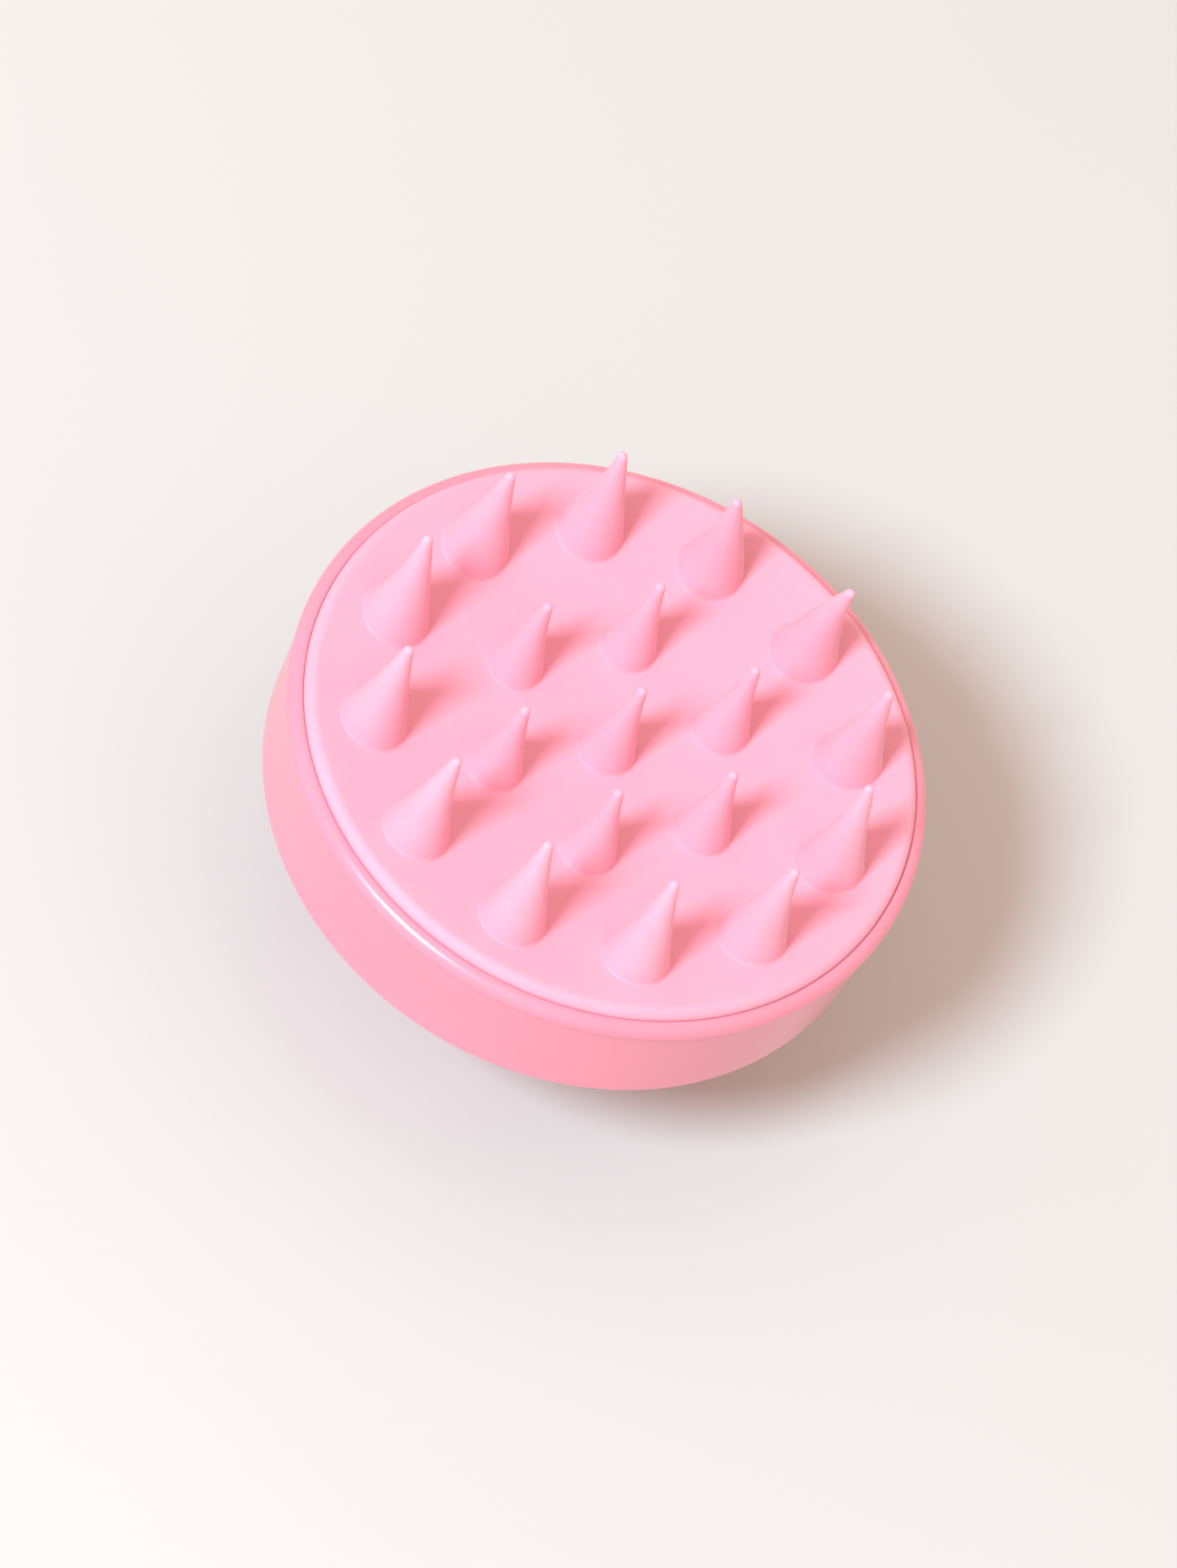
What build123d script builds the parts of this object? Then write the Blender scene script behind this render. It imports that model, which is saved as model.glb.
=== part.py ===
from build123d import *
import math
import os

# A hand-held scalp massager brush: a round soft pad with moulded cone bristles, held in a
# shallow rigid body, with a strap handle over the back that the fingers hook through.
#
# Frame: millimetres. +Z is the way the bristles point, the handle's strap runs along Y, and
# the origin is on the flat of the handle's crown, under the middle of the round body.

# Driving dimensions
RIM_D = 85.0            # across the bead round the pad
BODY_DEPTH = 17.0       # top of the bead to back edge
HANDLE_H = 29.0         # back edge to the handle's crown
HANDLE_W = 22.0         # strap width
HANDLE_HALF = 27.0      # half the spread of the strap's feet
STRAP_T = 6.0           # strap thickness
STRAP_WALL = 1.8
CROWN_BLEND = 9.0       # rounding where the strap meets the crown's flat
STRAP_EDGE = 2.4

GROOVE_R = 40.75        # middle of the fine groove between pad and bead
GROOVE_W = 0.2
BEAD_H = 2.0
BEAD_ROUND = 1.5
WALL_R = 42.1           # wall just under the bead
BACK_R = 41.5           # wall at the back edge
WALL = 2.0

DISH = 2.6              # middle of the pad's hollow face below the bead
DISH_R = 200.0          # radius of that hollow
PAD_EDGE = 1.2          # rounding of the pad's edge
PAD_SEAT = 4.6          # pad's underside below the bead
PLUG_R = 1.7            # plugs that hold the pad to its carrier
PLUG_RING = 34.5
PLUGS = 6
OUTER_RING = (12, 31.65, 15.0, 17.4, 4.6)    # bristles, ring radius, first angle, tip, foot
INNER_RING = (6, 16.1, 0.0, 12.9, 4.0)       # tips are measured up from the top of the bead
CENTRE = (1, 0.0, 0.0, 12.9, 4.0)
TIP_R = 0.75

CARRIER_R = 39.2
CARRIER_T = 2.4
SCREW_RING = 24.0       # screws that clamp carrier, body and back together
SCREWS = 4
SCREW_R = 1.25
HEAD_T = 1.2
HEAD_SINK = 1.3         # depth of the seats in the carrier
BOSS_R = 3.6

COVER_R = 37.8          # back cover, set into the back of the body
COVER_T = 2.0
DOME = 2.5              # how far the cover bulges
GAP = 0.15              # clearance between a part and the seat that holds it

HANDLE_SCREW_R = 1.0    # screws from inside the cover into the handle's feet
HANDLE_SCREW_Y = 24.0
HANDLE_SCREW_X = 5.5
FOOT_SOLID = 10.0       # length of each foot that is solid, for its screws

# Heights that follow
Z_BACK = HANDLE_H
Z_RIM = Z_BACK + BODY_DEPTH             # top of the bead
Z_DISH = Z_RIM - DISH                   # lowest point of the pad's face
Z_SEAT = Z_RIM - PAD_SEAT               # under the pad's sheet
Z_LEDGE = Z_SEAT - CARRIER_T            # under the carrier
Z_COVER = Z_BACK + COVER_T              # inner face of the cover's flange
PAD_R = GROOVE_R - GROOVE_W / 2
REBATE_R = GROOVE_R + GROOVE_W / 2


def ring_of(count, radius, first):
    """Centres of a ring of features, first angle in degrees."""
    turns = [math.radians(first + 360 * i / count) for i in range(count)]
    return [(radius * math.cos(a), radius * math.sin(a)) for a in turns]


def rod(radius, z0, z1, at=(0, 0)):
    """A round bar along Z between two heights."""
    solid = Cylinder(radius, z1 - z0, align=(Align.CENTER, Align.CENTER, Align.MIN))
    return Pos(at[0], at[1], z0) * solid


def turned(points):
    """A closed outline of (radius, height) points turned about Z."""
    return revolve(Plane.XZ * make_face(Polyline(*points, close=True)), Axis.Z)


def dish_ball():
    """The ball whose underside is the pad's hollow face."""
    return Pos(0, 0, Z_DISH + DISH_R) * Sphere(DISH_R)


def dish_height(radius):
    """Height of the pad's hollow face at a distance from the middle."""
    return Z_DISH + DISH_R - math.sqrt(DISH_R ** 2 - radius ** 2)


def tip_point(top, angle):
    """A point on the tip's ball, at an angle above its middle."""
    return (TIP_R * math.cos(angle), top - TIP_R + TIP_R * math.sin(angle))


def bristle(base, top, foot):
    """A soft cone with a small round tip, carried on a little below its foot."""
    lean = math.atan2(foot - TIP_R, top - base - 2)
    end = tip_point(top, lean)
    root_z = base - 2
    root_r = foot + 2 * math.tan(lean)
    edges = [
        Line((root_r, root_z), end),
        ThreePointArc(end, tip_point(top, math.radians(50)), (0, top)),
        Line((0, top), (0, root_z)),
        Line((0, root_z), (root_r, root_z)),
    ]
    return revolve(Plane.XZ * make_face(edges), Axis.Z)


def screw(radius, shank_len):
    """A pan-head screw, head up, with a cross recess, its head's seat at height 0."""
    solid = rod(2 * radius, 0, HEAD_T)
    solid = fillet(solid.edges().sort_by(Axis.Z)[-1], 0.5)
    solid += rod(radius, -shank_len, 0)
    solid = chamfer(solid.edges().sort_by(Axis.Z)[0], 0.3 * radius)
    for turn in (0, 90):
        solid -= Pos(0, 0, HEAD_T) * Rot(0, 0, turn) * Box(2.2 * radius, 0.6, 1.5)
    return solid


def bristles():
    """The cones of the soft moulding, one solid each, standing in its hollow face."""
    cones = []
    for count, radius, first, tip, foot in (OUTER_RING, INNER_RING, CENTRE):
        cone = Pos(0, radius, 0) * bristle(dish_height(radius), Z_RIM + tip, foot)
        cone = (cone & dish_ball()).solid()
        cones += [Rot(0, 0, first - 90 + 360 * i / count) * cone for i in range(count)]
    return Compound(children=cones)


def pad_sheet():
    """The soft moulding's sheet, with the barbed plugs that hold it to the carrier."""
    sheet = rod(PAD_R, Z_SEAT + GAP, Z_RIM + 5) - dish_ball()
    sheet = fillet(sheet.edges().sort_by(Axis.Z)[-1], PAD_EDGE)
    barb = Cone(PLUG_R - 0.5, PLUG_R + 0.9, 2.2, align=(Align.CENTER, Align.CENTER, Align.MIN))
    for at in ring_of(PLUGS, PLUG_RING, 0) + [(0, 0)]:
        sheet += rod(PLUG_R, Z_LEDGE - 1, Z_SEAT + 1, at)
        sheet += Pos(at[0], at[1], Z_LEDGE - 2.6) * barb
    return sheet


def outer_shell():
    """The round body: bead, wall, the ledge under the carrier and the seat of the cover."""
    bead_r = RIM_D / 2
    inner = BACK_R - WALL
    body = turned([
        (REBATE_R, Z_RIM), (bead_r, Z_RIM), (bead_r, Z_RIM - BEAD_H),
        (WALL_R, Z_RIM - BEAD_H - 0.4), (BACK_R, Z_BACK),
        (COVER_R + GAP, Z_BACK), (COVER_R + GAP, Z_COVER), (COVER_R - 2, Z_COVER),
        (COVER_R - 2, Z_COVER + 1.6), (inner, Z_COVER + 3.2),
        (inner, Z_LEDGE - 3.4), (inner - 1.8, Z_LEDGE - 1.6), (inner - 1.8, Z_LEDGE),
        (inner + 0.1, Z_LEDGE), (inner + 0.1, Z_SEAT), (REBATE_R, Z_SEAT),
    ])
    top = body.edges().filter_by(GeomType.CIRCLE).group_by(Axis.Z)[-1]
    body = fillet(top.sort_by(SortBy.RADIUS)[-1], BEAD_ROUND)
    top = body.edges().filter_by(GeomType.CIRCLE).group_by(Axis.Z)[-1]
    body = fillet(top.sort_by(SortBy.RADIUS)[0], 0.1)
    foot = body.edges().filter_by(GeomType.CIRCLE).group_by(Axis.Z)[0]
    return fillet(foot.sort_by(SortBy.RADIUS)[-1], 0.9)


def cover_blank(radius):
    """The cover's outer form: a flat flange with a shallow dome below it."""
    dome_r = radius - 3
    sphere_r = (dome_r ** 2 + DOME ** 2) / (2 * DOME)
    ball = Pos(0, 0, Z_BACK - DOME + sphere_r) * Sphere(sphere_r)
    below = Pos(0, 0, Z_BACK - DOME / 2) * Box(3 * radius, 3 * radius, DOME)
    return rod(radius, Z_BACK, Z_COVER) + (ball & below)


def back_cover():
    """Domed back with bosses for the clamping screws and holes over the handle's feet."""
    cover = cover_blank(COVER_R)
    inner_r = COVER_R - 8
    hollow_r = (inner_r ** 2 + DOME ** 2) / (2 * DOME)
    lens = Pos(0, 0, Z_COVER - DOME + hollow_r) * Sphere(hollow_r)
    slab = Pos(0, 0, Z_COVER - DOME / 2) * Box(3 * COVER_R, 3 * COVER_R, DOME)
    cover -= lens & slab
    for at in ring_of(SCREWS, SCREW_RING, 45):
        cover += rod(BOSS_R, Z_BACK + 0.5, Z_LEDGE - GAP, at)
        cover -= rod(SCREW_R + 0.05, Z_BACK + 2.5, Z_LEDGE + 1, at)
    for at in screw_spots():
        cover += rod(3.2 * HANDLE_SCREW_R, Z_BACK - 0.4, Z_COVER, at)
        cover -= rod(HANDLE_SCREW_R + 0.1, Z_BACK - 5, Z_COVER + 1, at)
    return cover


def pad_carrier():
    """Rigid plate under the pad, ribbed below, with plug holes and screw seats."""
    plate = rod(CARRIER_R, Z_LEDGE, Z_SEAT)
    rib_z = Z_LEDGE - 2.4
    for radius in (18.0, 30.0):
        plate += rod(radius + 0.6, rib_z, Z_LEDGE) - rod(radius - 0.6, rib_z - 1, Z_LEDGE + 1)
    for turn in (0, 60, 120):
        bar = Box(60.0, 1.2, 2.4, align=(Align.CENTER, Align.CENTER, Align.MIN))
        plate += Pos(0, 0, rib_z) * Rot(0, 0, turn) * bar
    for at in ring_of(SCREWS, SCREW_RING, 45):
        plate -= rod(BOSS_R + GAP, rib_z - 1, Z_LEDGE, at)
        plate -= rod(SCREW_R + 0.1, Z_LEDGE - 1, Z_SEAT + 1, at)
        plate -= rod(2 * SCREW_R + 0.2, Z_SEAT - HEAD_SINK, Z_SEAT + 1, at)
    plate -= rod(PLUG_R + 1.6, rib_z - 1, Z_LEDGE)
    for at in ring_of(PLUGS, PLUG_RING, 0) + [(0, 0)]:
        plate -= rod(PLUG_R + GAP, Z_LEDGE - 1, Z_SEAT + 1, at)
    return plate


def arch_face(inset):
    """The strap's outline seen along X, inset from its outer surface."""
    half = HANDLE_HALF - inset
    rise = HANDLE_H + 2.5 - inset
    arch = Plane.YZ * (Pos(0, Z_BACK) * Ellipse(half, rise))
    keep = Plane.YZ * (Pos(0, inset + 50) * Rectangle(200, 100))
    face = (arch & keep).face()
    return fillet(face.vertices().group_by(Axis.Z)[0], CROWN_BLEND)


def arch_band(outer, inner, width):
    """A length of strap between two insets."""
    solid = extrude(arch_face(outer), width / 2, both=True)
    solid -= extrude(arch_face(inner), width, both=True)
    return solid & (Pos(0, 0, Z_COVER / 2) * Box(200, 200, Z_COVER))


def handle_parts():
    """The strap: a channel on the outside and a liner that closes it on the finger side."""
    block = extrude(arch_face(0), HANDLE_W / 2, both=True)
    rims = [e for e in block.edges() if abs(abs(e.center().X) - HANDLE_W / 2) < 0.01]
    block = fillet([e for e in rims if e.center().Z < Z_BACK + 5], STRAP_EDGE)
    block -= extrude(arch_face(STRAP_T), HANDLE_W, both=True)
    block &= Pos(0, 0, Z_COVER / 2) * Box(200, 200, Z_COVER)
    block -= cover_blank(COVER_R + 10)
    hollow = arch_band(STRAP_WALL, STRAP_T + 1, HANDLE_W - 2 * STRAP_WALL)
    hollow &= Pos(0, 0, (Z_BACK - FOOT_SOLID) / 2) * Box(200, 200, Z_BACK - FOOT_SOLID)
    liner_w = HANDLE_W - 2 * STRAP_WALL
    recess = arch_band(STRAP_T - STRAP_WALL - GAP, STRAP_T + 1, liner_w)
    channel = block - hollow - recess
    for at in screw_spots():
        channel -= rod(HANDLE_SCREW_R + 0.05, Z_BACK - FOOT_SOLID + 1, Z_BACK, at)
    liner = arch_band(STRAP_T - STRAP_WALL, STRAP_T, liner_w - 2 * GAP)
    liner -= cover_blank(COVER_R + 10)
    return channel, liner


def screw_spots():
    """Where the handle's screws pass through the cover."""
    signs = (-1, 1)
    return [(i * HANDLE_SCREW_X, j * HANDLE_SCREW_Y) for i in signs for j in signs]


def placed(shape, spots, z):
    """The same piece at several places, as one compound."""
    return Compound(children=[Pos(x, y, z) * shape for x, y in spots])


channel, liner = handle_parts()
seat = Z_SEAT - HEAD_SINK
clamp = screw(SCREW_R, seat - Z_BACK - 4)
foot_screw = screw(HANDLE_SCREW_R, Z_COVER - Z_BACK + FOOT_SOLID - 2)
nodes = {
    "pad_sheet": pad_sheet(),
    "bristles": bristles(),
    "outer_shell": outer_shell(),
    "back_cover": back_cover(),
    "pad_carrier": pad_carrier(),
    "handle_shell": channel,
    "handle_liner": liner,
    "carrier_screws": placed(clamp, ring_of(SCREWS, SCREW_RING, 45), seat),
    "handle_screws": placed(foot_screw, screw_spots(), Z_COVER),
}

os.makedirs("parts", exist_ok=True)
for name, shape in nodes.items():
    export_step(shape, f"parts/{name}.step")
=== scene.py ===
import math
import random

import bmesh
import bpy
from mathutils import Matrix, Vector, geometry


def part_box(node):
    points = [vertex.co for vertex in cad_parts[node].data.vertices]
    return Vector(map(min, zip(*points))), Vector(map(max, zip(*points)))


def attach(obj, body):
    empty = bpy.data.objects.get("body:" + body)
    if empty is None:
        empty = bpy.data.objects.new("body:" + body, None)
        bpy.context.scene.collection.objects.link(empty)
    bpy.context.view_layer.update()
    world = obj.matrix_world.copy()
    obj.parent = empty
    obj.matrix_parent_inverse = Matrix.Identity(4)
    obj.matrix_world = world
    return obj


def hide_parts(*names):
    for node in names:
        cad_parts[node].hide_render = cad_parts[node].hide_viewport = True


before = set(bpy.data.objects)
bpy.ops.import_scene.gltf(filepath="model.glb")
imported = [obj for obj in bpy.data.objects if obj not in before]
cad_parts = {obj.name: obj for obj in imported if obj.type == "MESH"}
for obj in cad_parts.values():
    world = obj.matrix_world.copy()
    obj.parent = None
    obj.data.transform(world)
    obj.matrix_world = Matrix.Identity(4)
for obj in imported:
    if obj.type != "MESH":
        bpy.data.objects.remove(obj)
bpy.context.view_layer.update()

# A round hand-held scalp massager. The soft pad and the body round it are built here as
# fine meshes; the back cover, the handle and the inner parts are the CAD's own.
# Metres throughout. +Z is out of the bristles and the handle's strap runs along Y.

MM = 0.001
shell_lo, shell_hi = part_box("outer_shell")
carrier_lo, carrier_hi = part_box("pad_carrier")
bristles_lo, bristles_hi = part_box("bristles")

# Heights and radii read from the frame
RIM_Z = shell_hi.z
SEAT_Z = carrier_hi.z
BACK_Z = shell_lo.z
RIM_R = shell_hi.x
PAD_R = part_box("pad_sheet")[1].x
TIP_Z = bristles_hi.z

# The hollow in the pad's face: its lowest point and its radius
DISH_Z = bristles_lo.z
DISH_R = 200 * MM

# The pad's bristles: count, ring radius, first angle, tip height, foot radius
INNER_TIP_Z = TIP_Z - 4.5 * MM
RINGS = (
    (12, 31.65 * MM, 15.0, TIP_Z, 4.75 * MM),
    (6, 16.1 * MM, 0.0, INNER_TIP_Z, 4.05 * MM),
    (1, 0.0, 0.0, INNER_TIP_Z, 4.05 * MM),
)
TIP_R = 0.65 * MM
FLARE = 0.5 * MM        # how far the soft foot spreads
FLARE_H = 0.9 * MM      # and how high it reaches
HOLLOW = 0.25 * MM      # how far the flank curves in
CONE_SIDES = 56
FLANK_STEPS = 22
SLIGHT = 0.4            # most that the other tips stand off
# How far the tips of the bristles that have taken a set stand off, in x and y
BENT = {
    0: (-1.0, 0.7), 2: (1.4, -0.7), 3: (-0.8, -2.0), 4: (-1.0, -0.3), 6: (-1.2, 0.2),
    9: (-0.8, 0.2), 10: (-0.7, 0.4),
}

# The pad's edge, its underside and the barbed plugs below it
PAD_EDGE = 1.3 * MM
PAD_CLEAR = 0.15 * MM   # between the pad and its carrier
PAD_SPACING = 1.8 * MM  # of the mesh on its face, and on its underside
UNDER_SPACING = 3.0 * MM
PLUG_R = 1.7 * MM
PLUG_RING = 34.5 * MM
PLUG_COUNT = 6
PLUG_SIDES = 32
CARRIER_T = 2.4 * MM    # the carrier's plate, and the ribs under it
RIB_H = 2.4 * MM
BARB_GAP = 0.4 * MM
BARB_OUT = 0.9 * MM
BARB_IN = 0.5 * MM
BARB_END = 2.6 * MM

# The body's outline, from the groove over the bead and down to the back
RIM_SIDES = 288
GROOVE = 0.02 * MM
LIP_ROUND = 0.25 * MM
BEAD_ROUND = 1.55 * MM
BEAD_DROP = 2.6 * MM    # bead's top to where the wall starts
WALL_R = 42.1 * MM
BACK_R = 41.5 * MM
BACK_ROUND = 0.8 * MM
INNER_R = 39.5 * MM
COVER_SEAT_R = 37.95 * MM
COVER_SEAT_W = 2.15 * MM


# ---------------------------------------------------------------- mesh helpers

def ring_of(count, radius, first):
    """Centres of a ring of features, first angle in degrees."""
    turns = [math.radians(first + 360 * i / count) for i in range(count)]
    return [(radius * math.cos(a), radius * math.sin(a)) for a in turns]


def arc(centre, radius, start, end, steps):
    """Points on an arc in the (radius, height) plane, angles in degrees."""
    out = []
    for i in range(steps + 1):
        a = math.radians(start + (end - start) * i / steps)
        out.append((centre[0] + radius * math.cos(a), centre[1] + radius * math.sin(a)))
    return out


def hermite(p0, p1, t0, t1, steps):
    """A smooth curve from p0 to p1 that leaves along t0 and arrives along t1."""
    out = []
    for i in range(steps + 1):
        t = i / steps
        h = (2*t**3 - 3*t**2 + 1, t**3 - 2*t**2 + t, -2*t**3 + 3*t**2, t**3 - t**2)
        out.append(tuple(
            h[0] * p0[k] + h[1] * t0[k] + h[2] * p1[k] + h[3] * t1[k] for k in (0, 1)
        ))
    return out


def lathe(bm, profile, sides, at=(0, 0), closed=False):
    """Turns a (radius, height) profile about a vertical line."""
    rows = []
    for r, z in profile:
        if r < 1e-7:
            rows.append([bm.verts.new((at[0], at[1], z))])
            continue
        row = []
        for k in range(sides):
            a = 2 * math.pi * k / sides
            row.append(bm.verts.new((at[0] + r * math.cos(a), at[1] + r * math.sin(a), z)))
        rows.append(row)
    pairs = list(zip(rows, rows[1:]))
    if closed:
        pairs.append((rows[-1], rows[0]))
    for low, high in pairs:
        for k in range(sides):
            n = (k + 1) % sides
            if len(low) == 1 and len(high) == 1:
                continue
            if len(high) == 1:
                bm.faces.new((low[k], low[n], high[0]))
            elif len(low) == 1:
                bm.faces.new((low[0], high[n], high[k]))
            else:
                bm.faces.new((low[k], low[n], high[n], high[k]))


def disc_with_holes(bm, radius, sides, z, holes, hole_sides, spacing):
    """A flat disc, evenly triangulated, that leaves out round holes (x, y, radius)."""
    points = [Vector(p) for p in ring_of(sides, radius, 0)]
    for x, y, r in holes:
        points += [Vector((x + px, y + py)) for px, py in ring_of(hole_sides, r, 0)]
    rows = int(2 * radius / spacing)
    for j in range(-rows, rows + 1):
        for i in range(-rows, rows + 1):
            p = Vector(((i + 0.5 * (j % 2)) * spacing, j * spacing * 0.866))
            clear = p.length < radius - 0.6 * spacing
            for x, y, r in holes:
                clear = clear and (p - Vector((x, y))).length > r + 0.45 * spacing
            if clear:
                points.append(p)
    flat, _, faces, *_ = geometry.delaunay_2d_cdt(points, [], [], 0, 1e-7)
    verts = {}
    for face in faces:
        mid = sum((flat[i] for i in face), Vector((0, 0))) / len(face)
        if any((mid - Vector((x, y))).length < r * 0.999 for x, y, r in holes):
            continue
        for i in face:
            if i not in verts:
                verts[i] = bm.verts.new((flat[i].x, flat[i].y, z))
        bm.faces.new([verts[i] for i in face])


def piece(name, bm, slot, *nodes):
    """Finishes a mesh: welded, closed, smooth-shaded, on the frame's one body."""
    bmesh.ops.remove_doubles(bm, verts=bm.verts, dist=2e-6)
    bmesh.ops.recalc_face_normals(bm, faces=bm.faces)
    mesh = bpy.data.meshes.new(name)
    bm.to_mesh(mesh)
    bm.free()
    for face in mesh.polygons:
        face.use_smooth = True
    obj = bpy.data.objects.new(name, mesh)
    bpy.context.scene.collection.objects.link(obj)
    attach(obj, "root")
    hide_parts(*nodes)
    return obj


# ---------------------------------------------------------------- soft pad

def dish(x, y):
    """Height of the pad's hollow face."""
    return DISH_Z + DISH_R - math.sqrt(DISH_R**2 - x * x - y * y)


def bristle_profile(height, foot):
    """Wide soft foot, long flank with a slight hollow, and the ball at the tip."""
    root = (foot - FLARE, FLARE_H)
    lean = math.atan2(root[0] - TIP_R, height - 2 * MM)
    way = (-math.sin(lean), math.cos(lean))
    foot_curve = hermite(
        (foot, 0), root, (-2 * FLARE, 0.0), (way[0] * 1.2 * MM, way[1] * 1.2 * MM), 8,
    )
    tip = arc((0, height - TIP_R), TIP_R, math.degrees(lean), 90, 10)
    flank = []
    for i in range(1, FLANK_STEPS):
        t = i / FLANK_STEPS
        hollow = HOLLOW * math.sin(math.pi * t)
        flank.append((
            root[0] + (tip[0][0] - root[0]) * t - hollow,
            root[1] + (tip[0][1] - root[1]) * t,
        ))
    tip[-1] = (0, height)
    return foot_curve + flank + tip


def add_bristle(bm, at, tip_z, foot, set_off):
    """One bristle, its foot following the hollow face and its tip pushed by set_off."""
    base = dish(*at)
    height = tip_z - base
    start = len(bm.verts)
    lathe(bm, bristle_profile(height, foot), CONE_SIDES, at)
    bm.verts.ensure_lookup_table()
    for vert in bm.verts[start:]:
        rise = vert.co.z / height
        follow = (1 - rise) ** 3 * (dish(vert.co.x, vert.co.y) - base)
        vert.co.x += set_off.x * rise**2
        vert.co.y += set_off.y * rise**2
        vert.co.z += base + follow


def build_pad():
    """The soft moulding: bristles, hollow face, rounded edge and barbed plugs."""
    bm = bmesh.new()
    low = SEAT_Z + PAD_CLEAR
    wobble = random.Random(7)
    holes, index = [], 0
    for count, radius, first, tip_z, foot in RINGS:
        for x, y in ring_of(count, radius, first):
            holes.append((x, y, foot))
            slight = (wobble.uniform(-SLIGHT, SLIGHT), wobble.uniform(-SLIGHT, SLIGHT))
            add_bristle(bm, (x, y), tip_z, foot, Vector(BENT.get(index, slight)) * MM)
            index += 1
    # the hollow face ends where the rounding of the pad's edge takes over
    mid_r = PAD_R - PAD_EDGE
    reach = math.sqrt((DISH_R + PAD_EDGE)**2 - mid_r**2)
    mid_z = DISH_Z + DISH_R - reach
    turn = math.asin(mid_r / (DISH_R + PAD_EDGE))
    flat_r = mid_r - PAD_EDGE * math.sin(turn)
    start = len(bm.verts)
    disc_with_holes(bm, flat_r, RIM_SIDES, 0, holes, CONE_SIDES, PAD_SPACING)
    bm.verts.ensure_lookup_table()
    for vert in bm.verts[start:]:
        vert.co.z = dish(vert.co.x, vert.co.y)
    side = arc((mid_r, mid_z), PAD_EDGE, 90 + math.degrees(turn), 0, 18)
    side += [(PAD_R, low + 0.2 * MM), (PAD_R - 0.2 * MM, low)]
    lathe(bm, side, RIM_SIDES)
    plugs = [(x, y, PLUG_R) for x, y in ring_of(PLUG_COUNT, PLUG_RING, 0) + [(0, 0)]]
    disc_with_holes(bm, side[-1][0], RIM_SIDES, low, plugs, PLUG_SIDES, UNDER_SPACING)
    plate_z = carrier_lo.z + RIB_H
    barb = [
        (PLUG_R, low), (PLUG_R, plate_z - BARB_GAP),
        (PLUG_R + BARB_OUT, plate_z - BARB_GAP),
        (PLUG_R - BARB_IN, plate_z - BARB_END), (0, plate_z - BARB_END),
    ]
    for x, y, _ in plugs:
        lathe(bm, barb, PLUG_SIDES, (x, y))
    return piece("soft_pad", bm, "silicone", "pad_sheet", "bristles")


# ---------------------------------------------------------------- body

def build_shell():
    """Bead, wall and back lip turned as one outline, all its corners softened."""
    bm = bmesh.new()
    rebate = PAD_R + GROOVE
    ledge = SEAT_Z - CARRIER_T
    profile = arc((rebate + LIP_ROUND, RIM_Z - LIP_ROUND), LIP_ROUND, 180, 90, 6)
    profile += arc((RIM_R - BEAD_ROUND, RIM_Z - BEAD_ROUND), BEAD_ROUND, 90, -8, 18)
    profile += hermite(
        profile[-1], (WALL_R, RIM_Z - BEAD_DROP), (-0.1 * MM, -0.6 * MM), (0, -0.9 * MM), 10,
    )[1:]
    profile += arc((BACK_R - BACK_ROUND, BACK_Z + BACK_ROUND), BACK_ROUND, 2, -90, 10)
    # inside: the cover's seat and its ledge, then the carrier's ledge and seat
    profile += [
        (COVER_SEAT_R, BACK_Z), (COVER_SEAT_R, BACK_Z + 2 * MM),
        (COVER_SEAT_R - COVER_SEAT_W, BACK_Z + 2 * MM),
        (COVER_SEAT_R - COVER_SEAT_W, BACK_Z + 3.6 * MM), (INNER_R, BACK_Z + 5.2 * MM),
        (INNER_R, SEAT_Z - 5.8 * MM), (INNER_R - 1.8 * MM, SEAT_Z - 4 * MM),
        (INNER_R - 1.8 * MM, ledge), (INNER_R + 0.1 * MM, ledge),
        (INNER_R + 0.1 * MM, SEAT_Z), (rebate, SEAT_Z),
    ]
    lathe(bm, profile, RIM_SIDES, closed=True)
    return piece("body_shell", bm, "shell_plastic", "outer_shell")


# ---------------------------------------------------------------- materials

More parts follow.
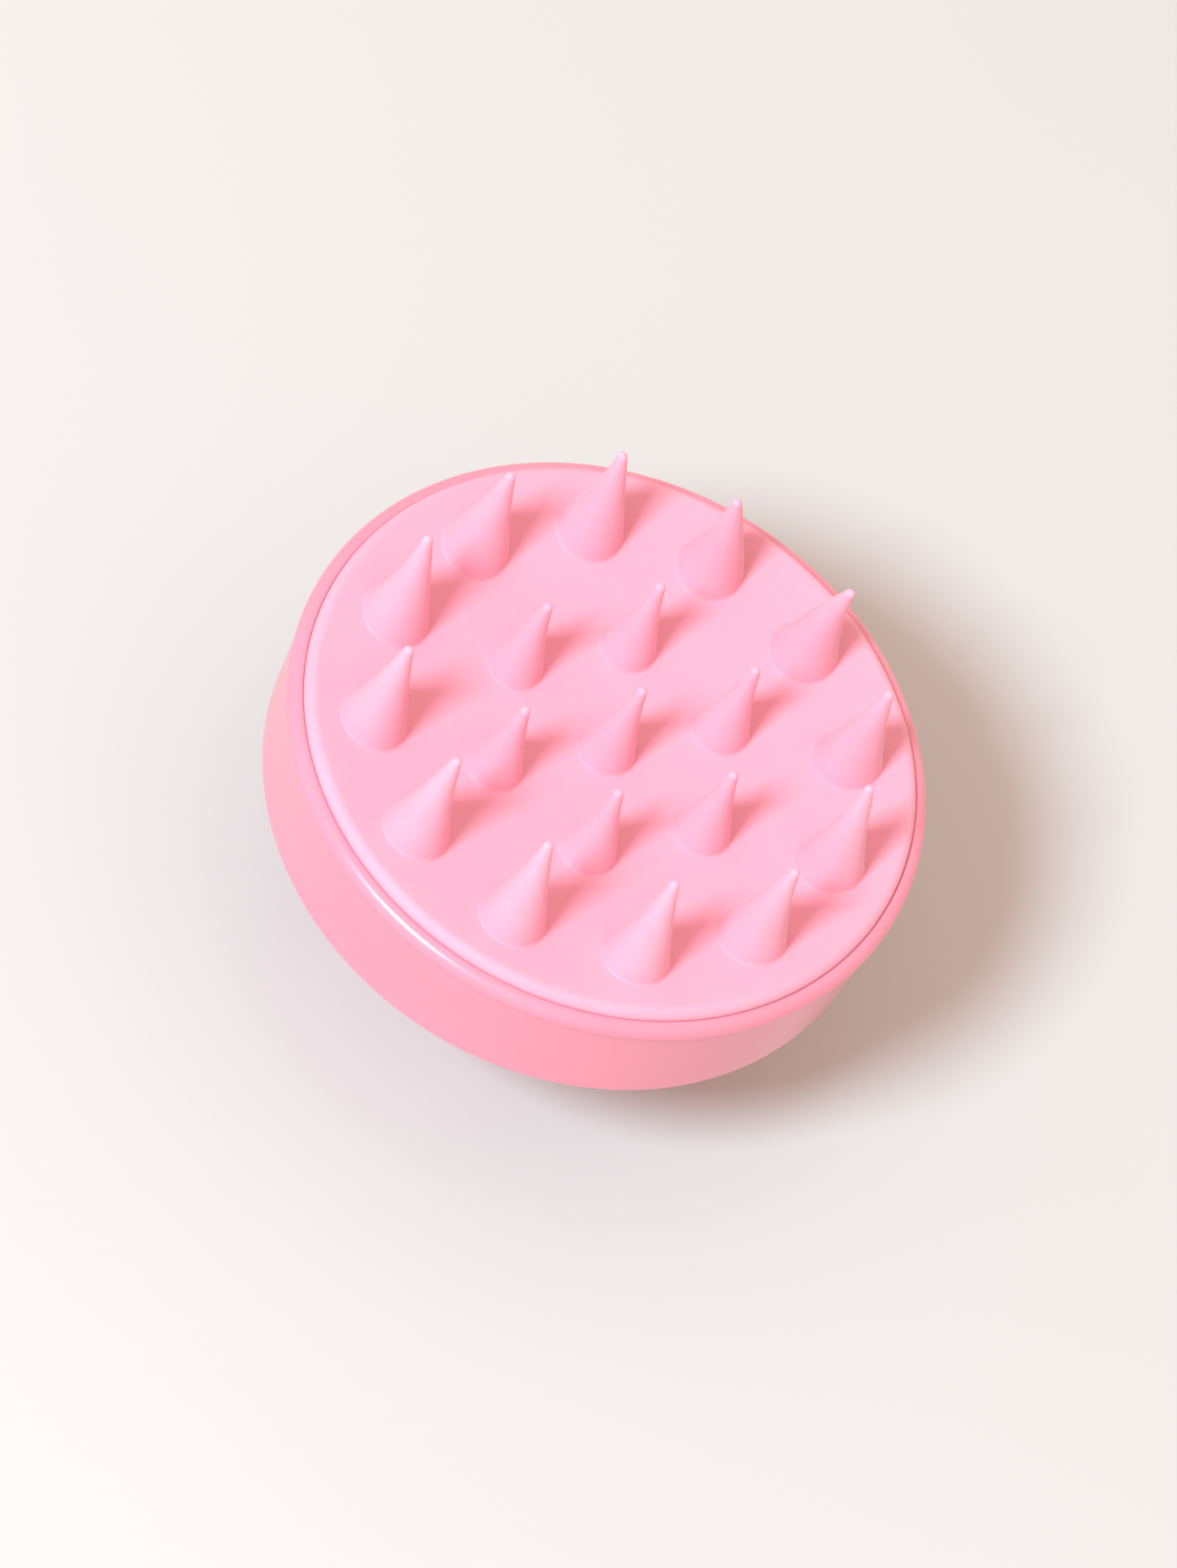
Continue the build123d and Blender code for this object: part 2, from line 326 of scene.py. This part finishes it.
class Shader:
    """A material's node tree, built a line at a time."""

    def __init__(self, name):
        self.material = bpy.data.materials.new(name)
        self.material.use_nodes = True
        self.tree = self.material.node_tree
        self.bsdf = self.tree.nodes["Principled BSDF"]
        self.where = self.add("ShaderNodeTexCoord").outputs["Object"]

    def add(self, kind, **settings):
        node = self.tree.nodes.new(kind)
        for key, value in settings.items():
            setattr(node, key, value)
        return node

    def link(self, a, b):
        self.tree.links.new(a, b)

    def fix(self, **values):
        """Sets sockets of the surface that are the same all over."""
        for key, value in values.items():
            self.bsdf.inputs[key.replace("_", " ")].default_value = value

    def noise(self, scale, detail):
        node = self.add("ShaderNodeTexNoise")
        node.inputs["Scale"].default_value = scale
        node.inputs["Detail"].default_value = detail
        self.link(self.where, node.inputs["Vector"])
        return node.outputs["Fac"]

    def ramp(self, source, stops):
        """Colour or grey by source: stops are (position, value)."""
        node = self.add("ShaderNodeValToRGB")
        for i, (at, value) in enumerate(stops):
            el = node.color_ramp.elements[i] if i < 2 else node.color_ramp.elements.new(at)
            el.position = at
            el.color = value if isinstance(value, tuple) else (value, value, value, 1)
        self.link(source, node.inputs["Fac"])
        return node.outputs["Color"]

    def blend(self, factor, a, b):
        """Mixes two colours; any of the three may be a value or a socket."""
        node = self.add("ShaderNodeMix", data_type="RGBA")
        for value, key in ((factor, 0), (a, 6), (b, 7)):
            if isinstance(value, (float, tuple)):
                node.inputs[key].default_value = value
            else:
                self.link(value, node.inputs[key])
        return node.outputs[2]

    def height(self):
        split = self.add("ShaderNodeSeparateXYZ")
        self.link(self.where, split.inputs[0])
        return split.outputs["Z"]

    def span(self, source, low, high):
        """0 to 1 as source goes from low to high."""
        node = self.add("ShaderNodeMapRange")
        node.inputs["From Min"].default_value = low
        node.inputs["From Max"].default_value = high
        self.link(source, node.inputs["Value"])
        return node.outputs["Result"]

    def bump(self, source, distance, strength, after=None):
        node = self.add("ShaderNodeBump")
        node.inputs["Strength"].default_value = strength
        node.inputs["Distance"].default_value = distance
        self.link(source, node.inputs["Height"])
        if after:
            self.link(after, node.inputs["Normal"])
        return node.outputs["Normal"]


def silicone():
    """Matt, slightly translucent pink rubber, with a painted glow: paler towards the tips,
    where light passes through the thin rubber.
    """
    s = Shader("pink_silicone")
    body = s.ramp(s.noise(90, 4), [
        (0.1, (0.76, 0.305, 0.40, 1)), (0.9, (0.785, 0.335, 0.435, 1)),
    ])
    # Painted light: over the top 9 mm the colour turns a paler pink, standing in for light
    # shining through the thin tips.
    painted_tip_glow_mask = s.span(s.height(), TIP_Z - 9 * MM, TIP_Z)
    painted_tip_glow = s.ramp(painted_tip_glow_mask, [(0.0, 0.0), (1.0, 0.3)])
    colour = s.blend(painted_tip_glow, body, (0.85, 0.42, 0.52, 1))
    s.link(colour, s.bsdf.inputs["Base Color"])
    s.link(s.ramp(s.noise(500, 5), [(0.1, 0.5), (0.9, 0.66)]), s.bsdf.inputs["Roughness"])
    fine = s.bump(s.noise(2600, 4), 0.00003, 0.35)
    s.link(s.bump(s.noise(140, 2), 0.0002, 0.12, fine), s.bsdf.inputs["Normal"])
    s.fix(
        Subsurface_Weight=0.35, Subsurface_Scale=0.0025, Subsurface_Radius=(1.0, 0.35, 0.45),
        Sheen_Weight=0.12, Sheen_Roughness=0.5, Specular_IOR_Level=0.3, IOR=1.42,
    )
    return s.material


def plastic(name, gloss):
    """Moulded pink plastic: a fine mould texture and faint handling marks."""
    s = Shader(name)
    colour = s.ramp(s.noise(60, 4), [
        (0.1, (0.73, 0.215, 0.295, 1)), (0.9, (0.76, 0.245, 0.33, 1)),
    ])
    s.link(colour, s.bsdf.inputs["Base Color"])
    smudge = s.ramp(s.noise(120, 2), [(0.1, gloss), (0.9, gloss + 0.08)])
    s.link(smudge, s.bsdf.inputs["Roughness"])
    s.link(s.bump(s.noise(900, 2), 0.00001, 0.2), s.bsdf.inputs["Normal"])
    s.fix(
        Subsurface_Weight=0.3, Subsurface_Scale=0.002, Subsurface_Radius=(1.0, 0.45, 0.5),
        Coat_Weight=0.25, Coat_Roughness=0.14, IOR=1.5,
    )
    return s.material


def inner_plastic():
    """Unpainted off-white moulding, slightly mottled."""
    s = Shader("offwhite_plastic")
    colour = s.ramp(s.noise(120, 5), [
        (0.3, (0.72, 0.66, 0.63, 1)), (0.7, (0.78, 0.73, 0.70, 1)),
    ])
    s.link(colour, s.bsdf.inputs["Base Color"])
    s.link(s.ramp(s.noise(700, 4), [(0.3, 0.48), (0.7, 0.6)]), s.bsdf.inputs["Roughness"])
    s.link(s.bump(s.noise(2200, 3), 0.00003, 0.3), s.bsdf.inputs["Normal"])
    return s.material


def steel():
    """Stainless screw steel with fine turning marks."""
    s = Shader("screw_steel")
    s.link(s.ramp(s.noise(900, 5), [
        (0.3, (0.52, 0.52, 0.51, 1)), (0.7, (0.64, 0.64, 0.62, 1)),
    ]), s.bsdf.inputs["Base Color"])
    s.link(s.ramp(s.noise(1500, 4), [(0.3, 0.24), (0.7, 0.38)]), s.bsdf.inputs["Roughness"])
    s.link(s.bump(s.noise(5000, 2), 0.00001, 0.3), s.bsdf.inputs["Normal"])
    s.fix(Metallic=1.0)
    return s.material


# ---------------------------------------------------------------- build

pad = build_pad()
shell = build_shell()
pad.data.materials.append(silicone())
shell_plastic = plastic("pink_plastic", 0.27)
shell.data.materials.append(shell_plastic)

inside = inner_plastic()
screws = steel()
for name, material in (
    ("back_cover", shell_plastic), ("handle_shell", shell_plastic),
    ("handle_liner", shell_plastic), ("pad_carrier", inside),
    ("carrier_screws", screws), ("handle_screws", screws),
):
    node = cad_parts[name]
    node.data.materials.clear()
    node.data.materials.append(material)


# ---------------------------------------------------------------- stage, light, camera

def floor():
    """A pale floor that the brush stands on."""
    mesh = bpy.data.meshes.new("floor")
    half = 3.0
    corners = [(-half, -half, 0), (half, -half, 0), (half, half, 0), (-half, half, 0)]
    mesh.from_pydata(corners, [], [(0, 1, 2, 3)])
    obj = bpy.data.objects.new("floor", mesh)
    bpy.context.scene.collection.objects.link(obj)
    s = Shader("pale_floor")
    colour = s.ramp(s.noise(6, 2), [
        (0.3, (0.52, 0.50, 0.495, 1)), (0.7, (0.53, 0.51, 0.505, 1)),
    ])
    s.link(colour, s.bsdf.inputs["Base Color"])
    s.fix(Roughness=0.7, Specular_IOR_Level=0.2)
    mesh.materials.append(s.material)


def area_light(name, towards, distance, size, power, colour, aim):
    """A round soft light, seen from aim in the direction towards."""
    data = bpy.data.lights.new(name, "AREA")
    data.shape = "DISK"
    data.size = size
    data.energy = power
    data.color = colour
    obj = bpy.data.objects.new(name, data)
    way = Vector(towards).normalized()
    obj.location = aim + way * distance
    obj.rotation_euler = way.to_track_quat("Z", "Y").to_euler()
    bpy.context.scene.collection.objects.link(obj)


floor()
centre = Vector((0, 0, RIM_Z))
area_light("key", (-0.164, -0.672, 0.722), 1.6, 0.4, 36.0, (0.69, 0.9, 1.0), centre)

# Warm light from all round
world = bpy.data.worlds.new("studio")
bpy.context.scene.world = world
world.use_nodes = True
background = world.node_tree.nodes["Background"]
background.inputs["Color"].default_value = (1.0, 0.8, 0.69, 1)
background.inputs["Strength"].default_value = 1.1

# The photograph's viewpoint: its right, up and forward directions
cam_data = bpy.data.cameras.new("camera")
cam_data.lens = 210.5
cam_data.sensor_width = 36.0
cam_data.clip_start = 0.05
cam_data.clip_end = 20.0
camera = bpy.data.objects.new("camera", cam_data)
right = Vector((0.73512, 0.60861, 0.29869))
up = Vector((-0.6624, 0.55095, 0.50763))
forward = Vector((-0.14439, 0.57103, -0.80814))
turn = Matrix((right, up, -forward)).transposed()
camera.matrix_world = Matrix.Translation(
    centre + Vector((0.1693, -0.66883, 0.93601))
) @ turn.to_4x4()
bpy.context.scene.collection.objects.link(camera)
bpy.context.scene.camera = camera
bpy.context.scene.view_settings.view_transform = "Standard"
